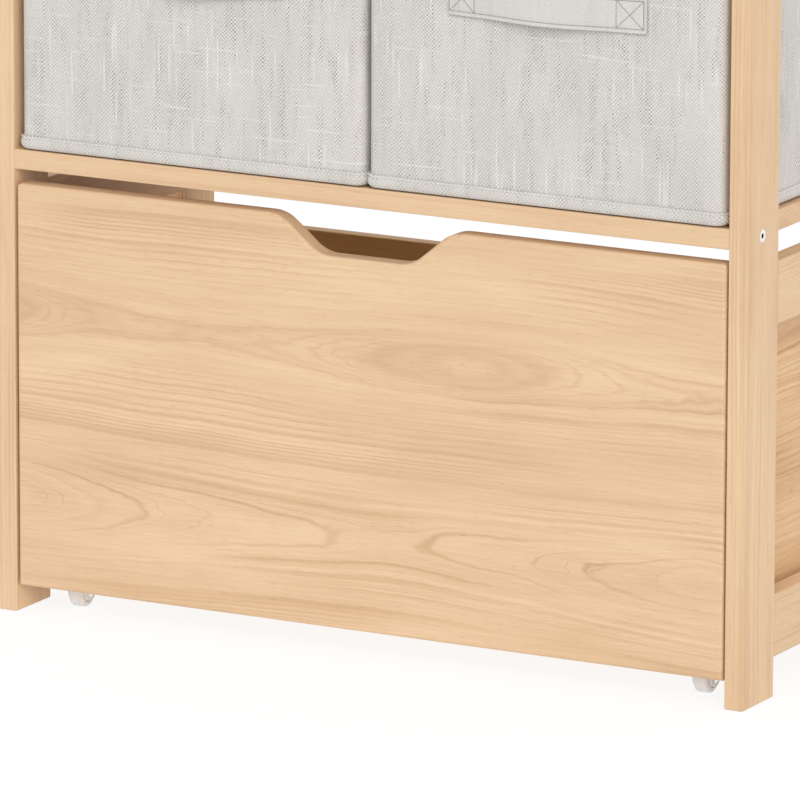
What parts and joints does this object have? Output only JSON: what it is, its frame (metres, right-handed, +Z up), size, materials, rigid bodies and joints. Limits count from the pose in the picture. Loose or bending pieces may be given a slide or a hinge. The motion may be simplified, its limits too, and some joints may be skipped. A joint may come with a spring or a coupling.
{
  "type": "toy storage organizer",
  "caption": "Children's toy organizer: a pine-look board frame with a rolling lower drawer, open-top fabric bins on a shelf above it and a flat top.",
  "frame": {"origin": "on the floor, midway between the four posts", "axes": "+Z up; the drawer front and the bin handles face -Y; +X to the right seen from the front"},
  "size_m": [0.62, 0.308, 0.65],
  "materials": {
    "pine": "satin natural wood grain",
    "drawer_board": "satin natural wood grain",
    "dowel_wood": "turned beech",
    "zinc": "bright zinc plate",
    "wheel_plastic": "moulded nylon",
    "fork_plastic": "moulded white",
    "linen": "light grey linen-look weave",
    "lining": "non-woven lining",
    "greyboard": "grey board",
    "insert_board": "fabric-wrapped board"
  },
  "bodies": {
    "frame": {"barrel_nuts": "zinc", "bin_shelf": "pine", "frame_bolts": "zinc", "frame_dowels": "dowel_wood", "front_left_post": "pine", "front_right_post": "pine", "left_lower_rail": "pine", "left_upper_rail": "pine", "rear_left_post": "pine", "rear_right_post": "pine", "rear_stretcher": "pine", "right_lower_rail": "pine", "right_upper_rail": "pine", "top_board": "pine"},
    "drawer": {"caster_screws": "zinc", "drawer_back": "drawer_board", "drawer_bottom": "drawer_board", "drawer_cam_bolts": "zinc", "drawer_cams": "zinc", "drawer_front": "pine", "drawer_left_side": "drawer_board", "drawer_pegs": "dowel_wood", "drawer_right_side": "drawer_board", "drawer_screws": "zinc", "front_left_caster_axle": "zinc", "front_left_caster_fork": "fork_plastic", "front_right_caster_axle": "zinc", "front_right_caster_fork": "fork_plastic", "rear_left_caster_axle": "zinc", "rear_left_caster_fork": "fork_plastic", "rear_right_caster_axle": "zinc", "rear_right_caster_fork": "fork_plastic"},
    "front_left_wheel": {"front_left_caster_wheel": "wheel_plastic"},
    "front_right_wheel": {"front_right_caster_wheel": "wheel_plastic"},
    "rear_left_wheel": {"rear_left_caster_wheel": "wheel_plastic"},
    "rear_right_wheel": {"rear_right_caster_wheel": "wheel_plastic"},
    "left_bin": {"left_bin_binding": "linen", "left_bin_cover": "linen", "left_bin_front_board": "greyboard", "left_bin_handle": "linen", "left_bin_hem": "linen", "left_bin_left_board": "greyboard", "left_bin_lining": "lining", "left_bin_rear_board": "greyboard", "left_bin_right_board": "greyboard"},
    "right_bin": {"right_bin_binding": "linen", "right_bin_cover": "linen", "right_bin_front_board": "greyboard", "right_bin_handle": "linen", "right_bin_hem": "linen", "right_bin_left_board": "greyboard", "right_bin_lining": "lining", "right_bin_rear_board": "greyboard", "right_bin_right_board": "greyboard"},
    "left_insert": {"left_bin_base_insert": "insert_board"},
    "right_insert": {"right_bin_base_insert": "insert_board"}
  },
  "joints": [
    {"name": "drawer_roll", "type": "slide", "parent": "frame", "child": "drawer", "axis": [0, -1, 0], "range_m": [0, 0.33]},
    {"name": "front_left_wheel_spin", "type": "hinge", "parent": "drawer", "child": "front_left_wheel", "pos_m": [-0.2613, -0.1115, 0.0105], "axis": [1, 0, 0], "continuous": true},
    {"name": "front_right_wheel_spin", "type": "hinge", "parent": "drawer", "child": "front_right_wheel", "pos_m": [0.2613, -0.1115, 0.0105], "axis": [1, 0, 0], "continuous": true},
    {"name": "rear_left_wheel_spin", "type": "hinge", "parent": "drawer", "child": "rear_left_wheel", "pos_m": [-0.2613, 0.078, 0.0105], "axis": [1, 0, 0], "continuous": true},
    {"name": "rear_right_wheel_spin", "type": "hinge", "parent": "drawer", "child": "rear_right_wheel", "pos_m": [0.2613, 0.078, 0.0105], "axis": [1, 0, 0], "continuous": true},
    {"name": "left_bin_slide", "type": "slide", "parent": "frame", "child": "left_bin", "axis": [0, -1, 0], "range_m": [0, 0.33]},
    {"name": "right_bin_slide", "type": "slide", "parent": "frame", "child": "right_bin", "axis": [0, -1, 0], "range_m": [0, 0.33]},
    {"name": "left_insert_lift", "type": "slide", "parent": "left_bin", "child": "left_insert", "axis": [0, 0, 1], "range_m": [0, 0.25]},
    {"name": "right_insert_lift", "type": "slide", "parent": "right_bin", "child": "right_insert", "axis": [0, 0, 1], "range_m": [0, 0.25]}
  ],
  "couplings": [
    {"joint": "front_left_wheel_spin", "follows": "drawer_roll", "rad_per_m": 95.238},
    {"joint": "front_right_wheel_spin", "follows": "drawer_roll", "rad_per_m": 95.238},
    {"joint": "rear_left_wheel_spin", "follows": "drawer_roll", "rad_per_m": 95.238},
    {"joint": "rear_right_wheel_spin", "follows": "drawer_roll", "rad_per_m": 95.238}
  ]
}
